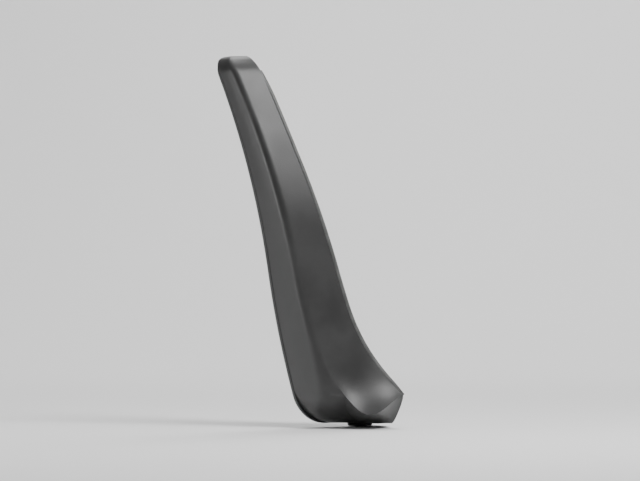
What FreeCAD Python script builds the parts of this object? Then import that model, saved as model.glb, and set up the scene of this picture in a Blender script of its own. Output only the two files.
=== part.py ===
import FreeCAD, Part

import os

import Sketcher

# Splash guard for a left rear wheel arch, in millimetres.
# +X points rearwards, +Y inboard and +Z up. The origin is on the middle screw's axis, in the
# plane where the guard's mounting face meets the arch flange.

SIZES = {
    # side view of the wall behind the tyre: round the arch above the origin, swept back below it
    "arch_radius": 380,
    "sweep_radius": 440,
    "wall": 3,
    "seat_proud": 0.5,
    "crest_height": 154,
    "heel_depth": 109,
    "crest_round": 13,
    "heel_round": 24,
    # outboard band
    "face_offset": 31.5,
    "face_lean": 0.174,
    "band_width": 32,
    "band_taper": 0.09,
    "band_crown": 1.5,
    "ridge_chamfer": 5,
    "rim_chamfer": 20,
    "bead_proud": 0.5,
    # fairing from the band back to the bodywork
    "fairing_depth": 28.5,
    "depth_taper": 0.085,
    "fairing_run": 8,
    "run_taper": 0.03,
    "scoop_start": 20,
    "scoop_tip": 88,
    "scoop_depth": 14,
    "scoop_run": 11,
    "scoop_power": 2.5,
    "crest_flare": 3,
    "crest_pull": 7,
    "heel_pull": 26,
    "heel_power": 1.2,
    # rear view of the wall
    "crest_width": 33.5,
    "knee_reach": 18,
    "knee_depth": 4,
    "wall_reach": 58,
    "toe_depth": 78,
    "toe_round": 10,
    "knee_round": 40,
    "crest_inboard_round": 10,
    # stiffening ribs inside the fairing
    "rib_thick": 1.8,
    "rib_inset": 5,
    "rib_upper_height": 112,
    "rib_middle_height": 50,
    "rib_lower_depth": 50,
    # bottom flange under the bumper
    "flange_rear": 42,
    "flange_inboard": 54,
    "flange_cut": 13.5,
    "flange_round": 4,
    # edge seal along the fairing's rear edge
    "seal_proud": 0.6,
    "seal_depth": 3,
    # foam strips on the mounting face
    "foam_thick": 4,
    "foam_width": 14,
    "foam_upper_top": 78,
    "foam_upper_bottom": 16,
    "foam_rib_gap": 0.45,
    "foam_lower_top": 15,
    "foam_lower_bottom": 46,
    "foam_lower_inboard": 14.5,
    # screw stations: height on the wall and distance inboard
    "upper_height": 96,
    "upper_inboard": -21,
    "lower_depth": 64,
    "lower_inboard": 16,
    "boss_radius": 11,
    "boss_height": 1.5,
    "sleeve_radius": 4.3,
    "sleeve_bore": 2.7,
    "washer_radius": 8,
    "washer_bore": 2.8,
    "washer_thick": 1.2,
    # tapping screw
    "neck_radius": 1.9,
    "thread_radius": 2.4,
    "thread_length": 8,
    "point_length": 3,
    "point_radius": 0.6,
    "collar_radius": 5.6,
    "collar_thick": 1,
    "head_across": 8,
    "head_height": 3.4,
    "recess_width": 1.3,
    "recess_length": 5,
    "recess_depth": 1.8,
    # push rivets
    "rivet_flap_depth": 38,
    "rivet_flap_inboard": 24,
    "rivet_liner_depth": 84,
    "rivet_liner_inboard": 46,
    "rivet_sill_back": 19,
    "rivet_sill_inboard": 33.5,
    "rivet_hole": 4.1,
    "rivet_neck": 3.9,
    "rivet_shank": 3.7,
    "rivet_reach": 9,
    "rivet_tip_radius": 3,
    "rivet_tip_length": 2,
    "rivet_head_radius": 9,
    "rivet_head_thick": 1.8,
    "rivet_recess_radius": 5,
    "rivet_recess_depth": 1.2,
    "rivet_slot": 1,
    "rivet_slot_length": 6,
    "pin_radius": 2,
    "pin_clearance": 0.05,
    "pin_head_radius": 4.2,
    "pin_head_thick": 1.6,
    "pin_tip_length": 1.5,
    "pin_tip_radius": 1.2,
    # spring nut clipped over the bottom flange's inboard edge
    "nut_back": 21,
    "nut_width": 12,
    "nut_leaf": 10.5,
    "nut_sheet": 0.8,
    "nut_thread": 2,
    "nut_collar_radius": 3.4,
    "nut_collar_height": 2.4,
    "nut_way_in": 2.8,
    "nut_setback": 5.5,
}

doc = FreeCAD.newDocument("SplashGuard")
sheet = doc.addObject("Spreadsheet::Sheet", "Sizes")
for row, (alias, value) in enumerate(SIZES.items(), start=1):
    sheet.set(f"A{row}", alias)
    sheet.set(f"B{row}", str(value))
    sheet.setAlias(f"B{row}", alias)
doc.recompute()


def originPlane(body, role):
    """One of a body's own origin planes, such as XY_Plane."""
    return next(item for item in body.Origin.OriginFeatures if item.Role == role)


def newSketch(body, name, role, lift=None):
    """An empty sketch on an origin plane, raised along its normal by the expression lift."""
    sketch = body.newObject("Sketcher::SketchObject", name)
    sketch.AttachmentSupport = [(originPlane(body, role), "")]
    sketch.MapMode = "FlatFace"
    if lift is not None:
        sketch.setExpression(".AttachmentOffset.Base.z", lift)
    return sketch


def number(sketch, expression):
    """The value that an expression has now, in millimetres or as a plain number."""
    value = sketch.evalExpression(expression)
    return float(getattr(value, "Value", value))


def addDatum(sketch, kind, references, expression):
    """A dimension of the sketch, driven by an expression."""
    index = sketch.addConstraint(Sketcher.Constraint(kind, *references, number(sketch, expression)))
    sketch.setExpression(f"Constraints[{index}]", expression)


def addLoop(sketch, corners):
    """A closed outline of straight lines through corners, each a pair of expressions."""
    spots = [FreeCAD.Vector(number(sketch, across), number(sketch, up), 0) for across, up in corners]
    first = sketch.GeometryCount
    count = len(corners)
    for index in range(count):
        sketch.addGeometry(Part.LineSegment(spots[index], spots[(index + 1) % count]), False)
    for index in range(count):
        following = first + (index + 1) % count
        sketch.addConstraint(Sketcher.Constraint("Coincident", first + index, 2, following, 1))
    for index, (across, up) in enumerate(corners):
        addDatum(sketch, "DistanceX", (-1, 1, first + index, 1), across)
        addDatum(sketch, "DistanceY", (-1, 1, first + index, 1), up)


def addCircle(sketch, across, up, radius):
    """A circle whose centre and radius are expressions."""
    centre = FreeCAD.Vector(number(sketch, across), number(sketch, up), 0)
    circle = Part.Circle(centre, FreeCAD.Vector(0, 0, 1), number(sketch, radius))
    index = sketch.addGeometry(circle, False)
    addDatum(sketch, "DistanceX", (-1, 1, index, 3), across)
    addDatum(sketch, "DistanceY", (-1, 1, index, 3), up)
    addDatum(sketch, "Radius", (index,), radius)


def addPad(body, name, sketch, length, symmetric=False):
    """A pad of a sketch, to one side of it or half to each side."""
    pad = body.newObject("PartDesign::Pad", name)
    pad.Profile = sketch
    pad.setExpression("Length", length)
    if symmetric:
        pad.SideType = "Symmetric"
    doc.recompute()
    return pad


def addPocket(body, name, sketch, length, reverse=False):
    """A pocket of a sketch; the volume afterwards proves that it cuts."""
    doc.recompute()
    before = body.Shape.Volume
    pocket = body.newObject("PartDesign::Pocket", name)
    pocket.Profile = sketch
    pocket.setExpression("Length", length)
    pocket.Reversed = reverse
    doc.recompute()
    if not body.Shape.Volume < before - 1e-6:
        raise ValueError(f"{name} cuts nothing")
    return pocket


def addRevolution(body, name, corners):
    """A solid turned about the body's Z axis from its half section, as (radius, height) pairs."""
    sketch = newSketch(body, f"{name}_section", "XZ_Plane")
    addLoop(sketch, corners)
    turned = body.newObject("PartDesign::Revolution", name)
    turned.Profile = sketch
    turned.ReferenceAxis = (sketch, ["V_Axis"])
    turned.Angle = 360
    doc.recompute()
    return turned


def newBody(name, label=None):
    """A PartDesign body; the label names a sub-part."""
    body = doc.addObject("PartDesign::Body", name)
    body.Label = label or name
    return body


def roundEdges(body, name, feature, edges, radius):
    """A fillet on chosen edges, its radius an expression."""
    fillet = body.newObject("PartDesign::Fillet", name)
    fillet.Base = (feature, edges)
    fillet.setExpression("Radius", radius)
    doc.recompute()
    return fillet


def edgesAt(shape, test):
    """The names of the edges whose middle point passes a test."""
    names = []
    for index, edge in enumerate(shape.Edges, start=1):
        middle = edge.valueAt((edge.FirstParameter + edge.LastParameter) / 2)
        if test(edge, middle):
            names.append(f"Edge{index}")
    return names


# Curves of the guard, as expressions of a height ------------------------------------------

def seatX(height, below):
    """X of the seat line at a height: on the arch above the origin, swept back below it."""
    if below:
        return f"(Sizes.sweep_radius - sqrt(Sizes.sweep_radius^2 - ({height})^2))"
    return f"(sqrt(Sizes.arch_radius^2 - ({height})^2) - Sizes.arch_radius)"


def outboardY(height):
    """Y of the band's outboard face at a height."""
    return f"(-Sizes.face_offset - Sizes.face_lean * ({height}))"


def rounding(radius, share):
    """How far an edge has come in, at a share of the way round a quarter circle."""
    return f"(({radius}) * (1 - sqrt(1 - {share}^2)))"


def level(height, below, tuck="0", pull="0", scoop="0", ridge="Sizes.ridge_chamfer"):
    """One horizontal level of the fairing: its height and what changes there."""
    return {"height": height, "below": below, "tuck": tuck, "pull": pull, "scoop": scoop,
            "ridge": ridge}


def levelLines(place):
    """The named X and Y lines of the fairing's section at a level."""
    height = place["height"]
    back = f"({seatX(height, place['below'])} - Sizes.seat_proud)"
    front = f"({back} - Sizes.wall)"
    ridge = f"({front} + Sizes.band_width - Sizes.band_taper * ({height}))"
    face = f"({outboardY(height)} + {place['tuck']})"
    flare = f"Sizes.crest_flare * max(0; 2 * ({height}) / Sizes.crest_height - 1)^2"
    run = (f"(Sizes.fairing_run - Sizes.run_taper * ({height}) + {flare}"
           f" + Sizes.scoop_run * ({place['scoop']}))")
    depth = (f"(Sizes.fairing_depth - Sizes.depth_taper * ({height}) + {flare}"
             f" + Sizes.scoop_depth * ({place['scoop']}))")
    edgeX = f"({ridge} + {run} - {place['pull']})"
    edgeY = f"({outboardY(height)} + Sizes.band_crown + {depth})"
    return {"back": back, "front": front, "ridge": ridge, "face": face, "run": run, "depth": depth,
            "edgeX": edgeX, "edgeY": edgeY}


def outerCorners(place):
    """The fairing's outer section: band, ridge, sloping face and edge, closed towards the wall."""
    line = levelLines(place)
    start = f"({line['front']} + 0.3 * Sizes.wall)"
    ridgeX = f"({line['ridge']} - {place['pull']})"
    return [
        (start, line["face"]),
        (f"max({start} + 0.3 * Sizes.wall; {ridgeX} - ({place['ridge']}))", line["face"]),
        (f"{ridgeX} + 0.3 * ({place['ridge']})", f"{line['face']} + ({place['ridge']})"),
        (line["edgeX"], line["edgeY"]),
        (start, line["edgeY"]),
    ]


def innerCorners(place):
    """The hollow inside the fairing, one wall in, and open towards the bodywork and the wall."""
    line = levelLines(place)
    ridgeX = f"({line['ridge']} - {place['pull']})"
    slope = f"({line['run']} / {line['depth']})"
    start = f"({line['front']} - Sizes.wall)"
    open_end = f"({line['edgeY']} + 2 * Sizes.wall)"
    return [
        (start, f"{line['face']} + Sizes.wall"),
        (f"{ridgeX} - ({place['ridge']}) - 0.4 * Sizes.wall", f"{line['face']} + Sizes.wall"),
        (f"{ridgeX} + 0.3 * ({place['ridge']}) - 1.05 * Sizes.wall",
         f"{line['face']} + ({place['ridge']})"),
        (f"{line['edgeX']} - 1.05 * Sizes.wall + 2 * Sizes.wall * {slope}", open_end),
        (start, open_end),
    ]


def endLevels(inset):
    """The fairing's levels from crest to heel, for the outside or for a hollow inset by a wall."""
    top = f"(Sizes.crest_height - {inset})"
    topRound = f"(Sizes.crest_round - {inset})"
    bottom = f"(Sizes.heel_depth - {inset})"
    bottomRound = f"(Sizes.heel_round - {inset})"
    levels = []
    for share in (1, 0.9, 0.6, 0):
        height = f"({top} - {topRound} * (1 - {share}))"
        tuck = rounding(topRound, share)
        levels.append(level(height, False, tuck=tuck, pull=f"(Sizes.crest_pull * {share}^2)",
                            ridge=f"(Sizes.ridge_chamfer * (1 - 0.6 * {share}))"))
    for share in (0.75, 0.5, 0.25, 0):
        levels.append(level(f"(Sizes.crest_height * {share})", False))
    for share in (0, 0.4, 0.7, 1):
        depth = f"(Sizes.scoop_start + (Sizes.scoop_tip - Sizes.scoop_start) * {share})"
        ridge = f"(Sizes.ridge_chamfer + (Sizes.rim_chamfer - Sizes.ridge_chamfer) * {share}^4 / 2)"
        round_share = f"max(0; ({depth} - {bottom} + {bottomRound}) / {bottomRound})"
        tuck = f"({bottomRound} * (1 - sqrt(1 - ({round_share})^2)))"
        levels.append(level(f"(-{depth})", True, scoop=f"({share}^Sizes.scoop_power)", ridge=ridge, tuck=tuck))
    for share in (0.75, 1):
        height = f"(-({bottom} - {bottomRound} * (1 - {share})))"
        fall = f"((-{height} - Sizes.scoop_tip) / ({bottom} - Sizes.scoop_tip))"
        levels.append(level(height, True, tuck=rounding(bottomRound, share), scoop="1",
                            pull=f"(Sizes.heel_pull * {fall}^Sizes.heel_power)", ridge="Sizes.rim_chamfer"))
    return levels


def addLoft(body, name, kind, levels, corners):
    """A loft through horizontal sections."""
    sketches = []
    for index, place in enumerate(levels):
        sketch = newSketch(body, f"{name}_{index}", "XY_Plane", place["height"])
        addLoop(sketch, corners(place))
        sketches.append(sketch)
    loft = body.newObject(kind, name)
    loft.Profile = sketches[0]
    loft.Sections = sketches[1:]
    loft.Ruled = True
    doc.recompute()
    return loft


# The moulding -------------------------------------------------------------------------------

def makeFairing():
    """Band, sloping face, crest cap and bottom plate, hollow towards the bodywork."""
    body = newBody("fairing")
    addLoft(body, "fairing_outside", "PartDesign::AdditiveLoft", endLevels("0"), outerCorners)
    addLoft(body, "fairing_hollow", "PartDesign::SubtractiveLoft", endLevels("Sizes.wall"), innerCorners)
    return body


def endNear(sketch, index, spot):
    """Which end of a sketch's arc, 1 or 2, lies at a point."""
    gaps = {end: sketch.getPoint(index, end).distanceToPoint(spot) for end in (1, 2)}
    return min(gaps, key=gaps.get)


def sideCurve(sketch, shift, top, bottom):
    """The seat line in side view, moved by shift: an arc above the waist and one below it."""
    spots = {}
    for place, below, height in (("top", False, top), ("rise", False, f"({top}) / 2"), ("waist", False, "0"),
                                 ("fall", True, f"({bottom}) / 2"), ("bottom", True, bottom)):
        across = number(sketch, f"{seatX(height, below)} + ({shift})")
        spots[place] = FreeCAD.Vector(across, number(sketch, height), 0)
    upper = sketch.addGeometry(Part.Arc(spots["waist"], spots["rise"], spots["top"]), False)
    lower = sketch.addGeometry(Part.Arc(spots["bottom"], spots["fall"], spots["waist"]), False)
    upperWaist = endNear(sketch, upper, spots["waist"])
    lowerWaist = endNear(sketch, lower, spots["waist"])
    sketch.addConstraint(Sketcher.Constraint("PointOnObject", upper, 3, -1))
    sketch.addConstraint(Sketcher.Constraint("PointOnObject", lower, 3, -1))
    sketch.addConstraint(Sketcher.Constraint("PointOnObject", upper, upperWaist, -1))
    sketch.addConstraint(Sketcher.Constraint("Coincident", lower, lowerWaist, upper, upperWaist))
    addDatum(sketch, "DistanceX", (-1, 1, upper, 3), f"({shift}) - Sizes.arch_radius")
    addDatum(sketch, "Radius", (upper,), "Sizes.arch_radius")
    addDatum(sketch, "Radius", (lower,), "Sizes.sweep_radius")
    topEnd = (upper, 3 - upperWaist)
    bottomEnd = (lower, 3 - lowerWaist)
    addDatum(sketch, "DistanceY", (-1, 1, *topEnd), top)
    addDatum(sketch, "DistanceY", (-1, 1, *bottomEnd), bottom)
    return topEnd, bottomEnd


def makeStrip(name, far, thick):
    """A sheet that follows the seat line in side view, from far - thick to far in X."""
    body = newBody(name)
    sketch = newSketch(body, f"{name}_section", "XZ_Plane")
    farEnds = sideCurve(sketch, far, "Sizes.crest_height", "-Sizes.heel_depth")
    nearEnds = sideCurve(sketch, f"({far}) - ({thick})", "Sizes.crest_height", "-Sizes.heel_depth")
    for farEnd, nearEnd in zip(farEnds, nearEnds):
        line = Part.LineSegment(sketch.getPoint(*farEnd), sketch.getPoint(*nearEnd))
        index = sketch.addGeometry(line, False)
        sketch.addConstraint(Sketcher.Constraint("Coincident", index, 1, *farEnd))
        sketch.addConstraint(Sketcher.Constraint("Coincident", index, 2, *nearEnd))
    addPad(body, f"{name}_pad", sketch, "4 * (Sizes.face_offset + Sizes.wall_reach)", symmetric=True)
    return body


def makeOutline():
    """The wall's outline in rear view, as a block to cut the strip to shape."""
    body = newBody("wall_outline")
    sketch = newSketch(body, "wall_outline_shape", "YZ_Plane")
    crest = "Sizes.crest_height"
    heel = "(-Sizes.heel_depth)"
    corners = [
        (f"{outboardY(crest)} - Sizes.bead_proud", crest, "Sizes.crest_round"),
        (f"{outboardY(crest)} + Sizes.crest_width", crest, "Sizes.crest_inboard_round"),
        ("Sizes.knee_reach", "-Sizes.knee_depth", "Sizes.knee_round"),
        ("Sizes.wall_reach", "-Sizes.toe_depth", "Sizes.toe_round"),
        ("Sizes.wall_reach", heel, "Sizes.toe_round"),
        (f"{outboardY(heel)} - Sizes.bead_proud", heel, "Sizes.heel_round"),
    ]
    addLoop(sketch, [(across, up) for across, up, _ in corners])
    feature = addPad(body, "wall_outline_pad", sketch, "Sizes.arch_radius", symmetric=True)
    for index, (across, up, radius) in enumerate(corners):
        spot = FreeCAD.Vector(0, number(sketch, across), number(sketch, up))
        names = edgesAt(feature.Shape, lambda edge, middle: middle.distanceToPoint(spot) < 0.01)
        feature = roundEdges(body, f"wall_corner_{index}", feature, names, radius)
    return body


def addRibs(body):
    """Flat ribs inside the fairing, from the band to the sloping face."""
    ribs = {
        "rib_upper": level("Sizes.rib_upper_height", False),
        "rib_middle": level("Sizes.rib_middle_height", False),
        "rib_lower": level("(-Sizes.rib_lower_depth)", True),
    }
    for name, place in ribs.items():
        line = levelLines(place)
        start = f"({line['front']} + 0.6 * Sizes.wall)"
        slope = f"({line['run']} / {line['depth']})"
        chamfer = place["ridge"]
        sketch = newSketch(body, f"{name}_outline", "XY_Plane", place["height"])
        addLoop(sketch, [
            (start, f"{line['face']} + 0.5 * Sizes.wall"),
            (f"{line['ridge']} - {chamfer}", f"{line['face']} + 0.5 * Sizes.wall"),
            (f"{line['ridge']} + 0.3 * {chamfer} - 0.5 * Sizes.wall", f"{line['face']} + {chamfer}"),
            (f"{line['edgeX']} - 0.5 * Sizes.wall - Sizes.rib_inset * {slope}",
             f"{line['edgeY']} - Sizes.rib_inset"),
            (start, f"{line['edgeY']} - Sizes.rib_inset"),
        ])
        addPad(body, name, sketch, "Sizes.rib_thick", symmetric=True)


def makeBottomFlange():
    """The flat flange that goes under the bumper, level with the fairing's bottom plate."""
    body = newBody("bottom_flange")
    heel = "(-Sizes.heel_depth)"
    front = f"({seatX(heel, True)} - Sizes.seat_proud - 0.5 * Sizes.wall)"
    last = endLevels("0")[-1]
    line = levelLines(last)
    sketch = newSketch(body, "bottom_flange_outline", "XY_Plane", heel)
    addLoop(sketch, [
        (front, f"{line['face']} + 2 * Sizes.wall"),
        (f"{line['ridge']} - {last['pull']} + 0.3 * Sizes.rim_chamfer",
         f"{line['face']} + Sizes.rim_chamfer + 0.5 * Sizes.wall"),
        ("Sizes.flange_rear", f"{line['edgeY']} - 0.5 * Sizes.wall"),
        ("Sizes.flange_rear - Sizes.flange_cut", "Sizes.flange_inboard"),
        (front, "Sizes.flange_inboard"),
    ])
    pad = addPad(body, "bottom_flange_pad", sketch, "Sizes.wall")
    corner = FreeCAD.Vector(number(sketch, "Sizes.flange_rear - Sizes.flange_cut"),
                            number(sketch, "Sizes.flange_inboard"), 0)
    up = FreeCAD.Vector(0, 0, 1)
    names = edgesAt(pad.Shape, lambda edge, middle: (middle - corner).cross(up).Length < 0.01)
    roundEdges(body, "bottom_flange_corner", pad, names, "Sizes.flange_round")
    return body


# Where the fasteners stand --------------------------------------------------------------------

def wallStation(height, below, inboard):
    """A place on the wall whose axis points square out of its back."""
    radius = "Sizes.sweep_radius" if below else "Sizes.arch_radius"
    tilt = f"asin(abs({height}) / {radius})"
    return {"x": seatX(height, below), "y": inboard, "z": height, "tilt": tilt}


def plateStation(back, inboard, height):
    """A place on the bottom flange whose axis points straight up."""
    return {"x": back, "y": inboard, "z": height, "tilt": "90 deg"}


SCREWS = {
    "upper": wallStation("Sizes.upper_height", False, "Sizes.upper_inboard"),
    "middle": wallStation("0", False, "0"),
    "lower": wallStation("(-Sizes.lower_depth)", True, "Sizes.lower_inboard"),
}
PLATE_TOP = "(-Sizes.heel_depth + Sizes.wall)"
RIVETS = {
    "flap": wallStation("(-Sizes.rivet_flap_depth)", True, "Sizes.rivet_flap_inboard"),
    "liner": wallStation("(-Sizes.rivet_liner_depth)", True, "Sizes.rivet_liner_inboard"),
    "sill": plateStation("Sizes.rivet_sill_back", "Sizes.rivet_sill_inboard",
                         f"({PLATE_TOP} + Sizes.seat_proud)"),
}
CLAMP = "(Sizes.seat_proud + Sizes.wall + Sizes.boss_height)"
GRIP = "(2 * Sizes.seat_proud + Sizes.wall)"


def placeAt(item, station, along="0"):
    """Stand an object, made about its own Z axis, on a station, moved along the axis."""
    tilt = station["tilt"]
    item.Placement = FreeCAD.Placement(FreeCAD.Vector(), FreeCAD.Rotation(FreeCAD.Vector(0, 1, 0), 45))
    item.setExpression("Placement.Base.x", f"{station['x']} + ({along}) * cos({tilt})")
    item.setExpression("Placement.Base.y", station["y"])
    item.setExpression("Placement.Base.z", f"{station['z']} + ({along}) * sin({tilt})")
    item.setExpression("Placement.Rotation.Angle", f"90 deg - {tilt}")


def makeCylinder(name, radius, height, station, along):
    """A cylinder on a station's axis."""
    cylinder = doc.addObject("Part::Cylinder", name)
    cylinder.setExpression("Radius", radius)
    cylinder.setExpression("Height", height)
    placeAt(cylinder, station, along)
    return cylinder


def combine(kind, base, tool):
    """A fuse or a cut of two objects."""
    result = doc.addObject(kind, f"{tool.Name}_joined")
    result.Base = base
    result.Tool = tool
    return result


def makeMoulding():
    """The one-piece moulding: fairing, wall, bottom flange, bosses and fastener holes."""
    fairing = makeFairing()
    addRibs(fairing)
    strip = makeStrip("wall_strip", "-Sizes.seat_proud", "Sizes.wall")
    wall = combine("Part::Common", strip, makeOutline())
    solids = [fairing, wall, makeBottomFlange()]
    holes = []
    for name, station in SCREWS.items():
        solids.append(makeCylinder(f"boss_{name}", "Sizes.boss_radius", CLAMP, station, f"-{CLAMP}"))
        holes.append(makeCylinder(f"screw_hole_{name}", "Sizes.sleeve_radius", f"3 * {CLAMP}", station,
                                  f"-2 * {CLAMP}"))
    for name, station in RIVETS.items():
        solids.append(makeCylinder(f"land_{name}", "Sizes.rivet_head_radius", GRIP, station, f"-{GRIP}"))
        holes.append(makeCylinder(f"rivet_hole_{name}", "Sizes.rivet_hole", f"3 * {GRIP}", station,
                                  f"-2 * {GRIP}"))
    nut = plateStation("Sizes.nut_back", "Sizes.flange_inboard - Sizes.nut_setback", PLATE_TOP)
    holes.append(makeCylinder("nut_hole", "Sizes.nut_way_in", "3 * Sizes.wall", nut, "-2 * Sizes.wall"))
    moulding = solids[0]
    for solid in solids[1:]:
        moulding = combine("Part::Fuse", moulding, solid)
    for hole in holes:
        moulding = combine("Part::Cut", moulding, hole)
    moulding.Label = "splash_guard"
    return moulding


# Trim ---------------------------------------------------------------------------------------

def makeEdgeSeal():
    """The rubber lip along the fairing's rear edge, from below the crest to the scoop's tip."""
    def sealCorners(place):
        line = levelLines(place)
        lean = f"(Sizes.seal_depth * {line['run']} / {line['depth']})"
        inner = f"({line['edgeX']} - 1.05 * Sizes.wall - Sizes.seal_proud)"
        outer = f"({line['edgeX']} + Sizes.seal_proud)"
        far = f"({line['edgeY']} + Sizes.seal_depth)"
        return [(inner, line["edgeY"]), (outer, line["edgeY"]),
                (f"{outer} + {lean}", far), (f"{inner} + {lean}", far)]

    body = newBody("seal", "edge_seal")
    shoulder, tip = 3, 11
    addLoft(body, "seal_lip", "PartDesign::AdditiveLoft", endLevels("0")[shoulder:tip + 1], sealCorners)
    return body


def makeFoam(name, top, bottom, inboard):
    """A foam strip on the wall's back, between two heights."""
    strip = makeStrip(f"{name}_sheet", "Sizes.foam_thick - Sizes.seat_proud", "Sizes.foam_thick")
    block = doc.addObject("Part::Box", f"{name}_block")
    block.setExpression("Length", "Sizes.arch_radius")
    block.setExpression("Width", "Sizes.foam_width")
    block.setExpression("Height", f"({top}) - ({bottom})")
    block.setExpression("Placement.Base.x", "-Sizes.arch_radius / 2")
    block.setExpression("Placement.Base.y", f"({inboard}) - Sizes.foam_width")
    block.setExpression("Placement.Base.z", bottom)
    foam = combine("Part::Common", strip, block)
    foam.Label = name
    return foam


# Fasteners ------------------------------------------------------------------------------------

def makeSleeve(name, station):
    """A steel bush, flush with the boss and the mounting face."""
    body = newBody(name)
    addRevolution(body, f"{name}_turned", [
        ("Sizes.sleeve_bore", f"-{CLAMP}"), ("Sizes.sleeve_radius", f"-{CLAMP}"),
        ("Sizes.sleeve_radius", "0"), ("Sizes.sleeve_bore", "0"),
    ])
    placeAt(body, station)
    return body


def makeWasher(name, station):
    """A plain washer on the boss."""
    body = newBody(name)
    top = f"(-{CLAMP} - Sizes.washer_thick)"
    addRevolution(body, f"{name}_turned", [
        ("Sizes.washer_bore", top), ("Sizes.washer_radius", top),
        ("Sizes.washer_radius", f"-{CLAMP}"), ("Sizes.washer_bore", f"-{CLAMP}"),
    ])
    placeAt(body, station)
    return body


def makeScrew(name, station):
    """A hex washer-head tapping screw with a cross recess; its thread is a plain cylinder."""
    body = newBody(name)
    seat = f"(-{CLAMP} - Sizes.washer_thick)"
    collarTop = f"({seat} - Sizes.collar_thick)"
    headTop = f"({collarTop} - Sizes.head_height)"
    addRevolution(body, f"{name}_turned", [
        ("0", collarTop), ("Sizes.collar_radius", collarTop), ("Sizes.collar_radius", seat),
        ("Sizes.neck_radius", seat), ("Sizes.neck_radius", "0"), ("Sizes.thread_radius", "0"),
        ("Sizes.thread_radius", "Sizes.thread_length"),
        ("Sizes.point_radius", "Sizes.thread_length + Sizes.point_length"),
        ("0", "Sizes.thread_length + Sizes.point_length"),
    ])
    hexagon = newSketch(body, f"{name}_hexagon", "XY_Plane", headTop)
    corner = "Sizes.head_across / sqrt(3)"
    addLoop(hexagon, [(f"{corner} * cos({60 * step} deg)", f"{corner} * sin({60 * step} deg)")
                      for step in range(6)])
    addPad(body, f"{name}_head", hexagon, "Sizes.head_height")
    cross = newSketch(body, f"{name}_cross", "XY_Plane", headTop)
    wide = "Sizes.recess_length / 2"
    thin = "Sizes.recess_width / 2"
    quarter = [(wide, thin), (thin, thin), (thin, wide)]
    addLoop(cross, [turnedCorner(pair, turn) for turn in range(4) for pair in quarter])
    addPocket(body, f"{name}_recess", cross, "Sizes.recess_depth", reverse=True)
    placeAt(body, station)
    return body


def turnedCorner(pair, quarters):
    """A corner, as two expressions, turned about the origin by quarter turns."""
    across, up = pair
    for _ in range(quarters):
        across, up = f"-({up})", across
    return across, up


def makeRivetBody(name, station):
    """A push rivet's split body: a flat head with a recess, and four legs."""
    body = newBody(name)
    headTop = f"(-{GRIP} - Sizes.rivet_head_thick)"
    recess = f"({headTop} + Sizes.rivet_recess_depth)"
    end = "(Sizes.rivet_reach + Sizes.rivet_tip_length)"
    addRevolution(body, f"{name}_turned", [
        ("Sizes.pin_radius", recess), ("Sizes.rivet_recess_radius", recess),
        ("Sizes.rivet_recess_radius", headTop), ("0.9 * Sizes.rivet_head_radius", headTop),
        ("Sizes.rivet_head_radius", f"-{GRIP}"), ("Sizes.rivet_neck", f"-{GRIP}"),
        ("Sizes.rivet_neck", "0"), ("Sizes.rivet_shank", "0"),
        ("Sizes.rivet_shank", "Sizes.rivet_reach"), ("Sizes.rivet_tip_radius", end),
        ("Sizes.pin_radius", end),
    ])
    for role in ("XZ_Plane", "YZ_Plane"):
        slot = newSketch(body, f"{name}_slot_{role[:2]}", role)
        half = "Sizes.rivet_slot / 2"
        low = f"{end} - Sizes.rivet_slot_length"
        high = f"{end} + Sizes.rivet_slot"
        addLoop(slot, [(f"-{half}", low), (half, low), (half, high), (f"-{half}", high)])
        pocket = addPocket(body, f"{name}_split_{role[:2]}", slot, "4 * Sizes.rivet_shank")
        pocket.SideType = "Symmetric"
    placeAt(body, station)
    return body


def makeRivetPin(name, station):
    """The pin that spreads a push rivet's legs; it slides along the rivet's axis."""
    body = newBody(name)
    recess = f"(-{GRIP} - Sizes.rivet_head_thick + Sizes.rivet_recess_depth - Sizes.pin_clearance)"
    shank = "(Sizes.pin_radius - Sizes.pin_clearance)"
    end = "(Sizes.rivet_reach + Sizes.rivet_tip_length)"
    addRevolution(body, f"{name}_turned", [
        ("0", f"{recess} - Sizes.pin_head_thick"),
        ("0.85 * Sizes.pin_head_radius", f"{recess} - Sizes.pin_head_thick"),
        ("Sizes.pin_head_radius", f"{recess} - 0.5 * Sizes.pin_head_thick"),
        ("Sizes.pin_head_radius", recess), (shank, recess),
        (shank, f"{end} - Sizes.pin_tip_length"), ("Sizes.pin_tip_radius", end), ("0", end),
    ])
    placeAt(body, station)
    return body


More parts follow.
